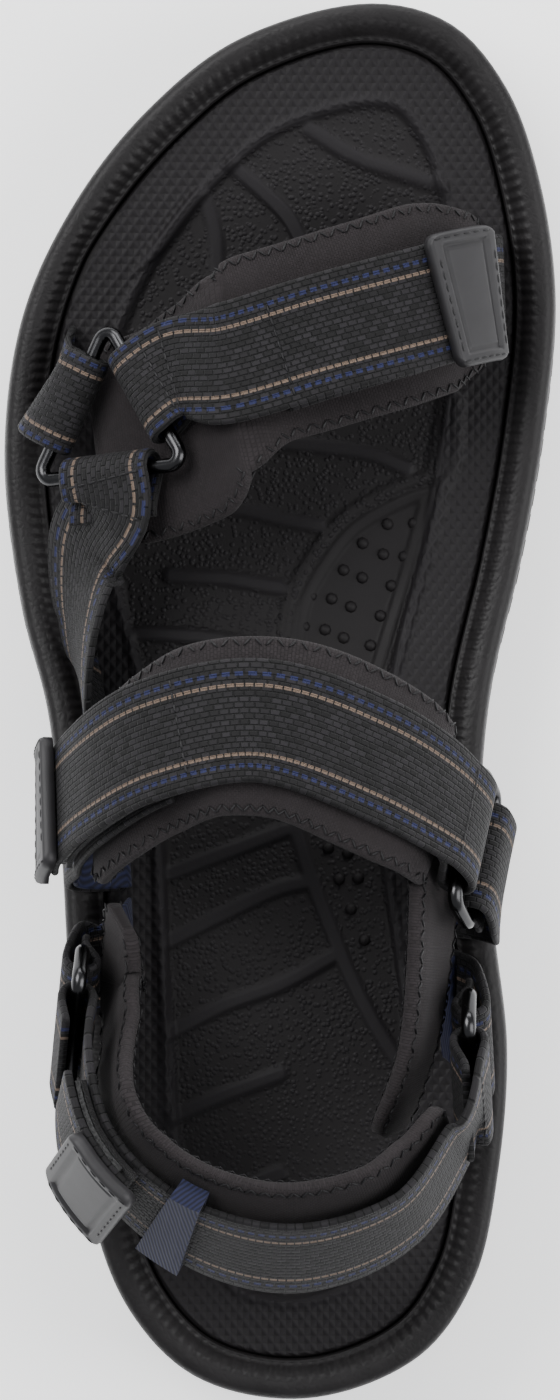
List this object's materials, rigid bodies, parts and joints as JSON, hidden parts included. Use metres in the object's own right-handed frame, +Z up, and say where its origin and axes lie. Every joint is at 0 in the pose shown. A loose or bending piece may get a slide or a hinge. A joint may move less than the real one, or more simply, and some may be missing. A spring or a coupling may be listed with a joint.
{
  "type": "strappy sport sandal",
  "caption": "Left sport sandal: moulded footbed and lugged sole, padded webbing straps through metal rings, hook-and-loop strap ends with rubber pull tabs.",
  "frame": {"origin": "middle of the bounding box, on the ground", "axes": "+Z up, +Y from heel to toe, +X towards the big-toe side of this left sandal"},
  "size_m": [0.116, 0.29, 0.0962],
  "materials": {
    "outsole_rubber": "matt moulded rubber",
    "midsole_foam": "grained foam skin",
    "footbed_foam": "textured foam",
    "shank_nylon": "matt",
    "striped_webbing": "woven, with tan and navy lines",
    "neoprene": "brushed knit",
    "hook_tape": "hooks",
    "loop_tape": "loops",
    "navy_tape": "woven",
    "tab_rubber": "satin moulded rubber",
    "gunmetal": "dark glossy plating"
  },
  "bodies": {
    "sandal": {"forefoot_lateral_anchor": "striped_webbing", "side_strap": "striped_webbing", "forefoot_strap": "striped_webbing", "forefoot_medial_anchor": "striped_webbing", "instep_strap": "striped_webbing", "instep_lateral_anchor": "striped_webbing", "instep_medial_anchor": "striped_webbing", "heel_strap": "striped_webbing", "heel_medial_anchor": "striped_webbing", "heel_lateral_anchor": "striped_webbing", "forefoot_pad": "neoprene", "instep_pad": "neoprene", "heel_pad": "neoprene", "forefoot_loop_tape": "loop_tape", "instep_loop_tape": "loop_tape", "heel_loop_tape": "loop_tape", "instep_lateral_lining": "navy_tape", "instep_medial_lining": "navy_tape", "heel_lateral_lining": "navy_tape", "heel_medial_lining": "navy_tape", "outsole": "outsole_rubber", "midsole": "midsole_foam", "footbed": "footbed_foam", "shank": "shank_nylon"},
    "forefoot_flap": {"forefoot_flap": "striped_webbing", "forefoot_hook_tape": "hook_tape", "forefoot_pull_tab": "tab_rubber"},
    "instep_flap": {"instep_flap": "striped_webbing", "instep_hook_tape": "hook_tape", "instep_pull_tab": "tab_rubber"},
    "heel_flap": {"heel_flap": "striped_webbing", "heel_hook_tape": "hook_tape", "heel_pull_tab": "tab_rubber"},
    "forefoot_ring": {"forefoot_ring": "gunmetal"},
    "instep_ring": {"instep_ring": "gunmetal"},
    "heel_medial_ring": {"heel_medial_ring": "gunmetal"},
    "heel_lateral_ring": {"heel_lateral_ring": "gunmetal"},
    "heel_keeper": {"heel_keeper": "navy_tape"}
  },
  "joints": [
    {"name": "forefoot_flap_peel", "type": "hinge", "parent": "sandal", "child": "forefoot_flap", "pos_m": [-0.00493, 0.07021, 0.06092], "axis": [0.2672, -0.9571, 0.1119], "range_deg": [0, 70]},
    {"name": "instep_flap_peel", "type": "hinge", "parent": "sandal", "child": "instep_flap", "pos_m": [-0.02385, -0.00689, 0.08977], "axis": [-0.1876, 0.9485, -0.2551], "range_deg": [0, 70]},
    {"name": "heel_flap_peel", "type": "hinge", "parent": "sandal", "child": "heel_flap", "pos_m": [-0.04434, -0.07981, 0.07495], "axis": [-0.1226, -0.3575, -0.9258], "range_deg": [0, 60]},
    {"name": "forefoot_ring_swivel", "type": "hinge", "parent": "sandal", "child": "forefoot_ring", "pos_m": [-0.04295, 0.06145, 0.03989], "axis": [0.411, 0.9017, 0.1341], "range_deg": [-1.5, 1.5]},
    {"name": "instep_ring_swivel", "type": "hinge", "parent": "sandal", "child": "instep_ring", "pos_m": [0.04112, -0.03295, 0.05864], "axis": [-0.1985, -0.8353, 0.5127], "range_deg": [-3, 3]},
    {"name": "heel_medial_ring_swivel", "type": "hinge", "parent": "sandal", "child": "heel_medial_ring", "pos_m": [0.03924, -0.07051, 0.05669], "axis": [0.0619, -0.7833, -0.6186], "range_deg": [-3, 3]},
    {"name": "heel_lateral_ring_swivel", "type": "hinge", "parent": "sandal", "child": "heel_lateral_ring", "pos_m": [-0.04126, -0.06151, 0.05643], "axis": [0.0935, 0.7765, 0.6232], "range_deg": [-3, 3]},
    {"name": "heel_keeper_slide", "type": "slide", "parent": "sandal", "child": "heel_keeper", "axis": [-0.8552, 0.5144, -0.0631], "range_m": [-0.003, 0.003]}
  ]
}
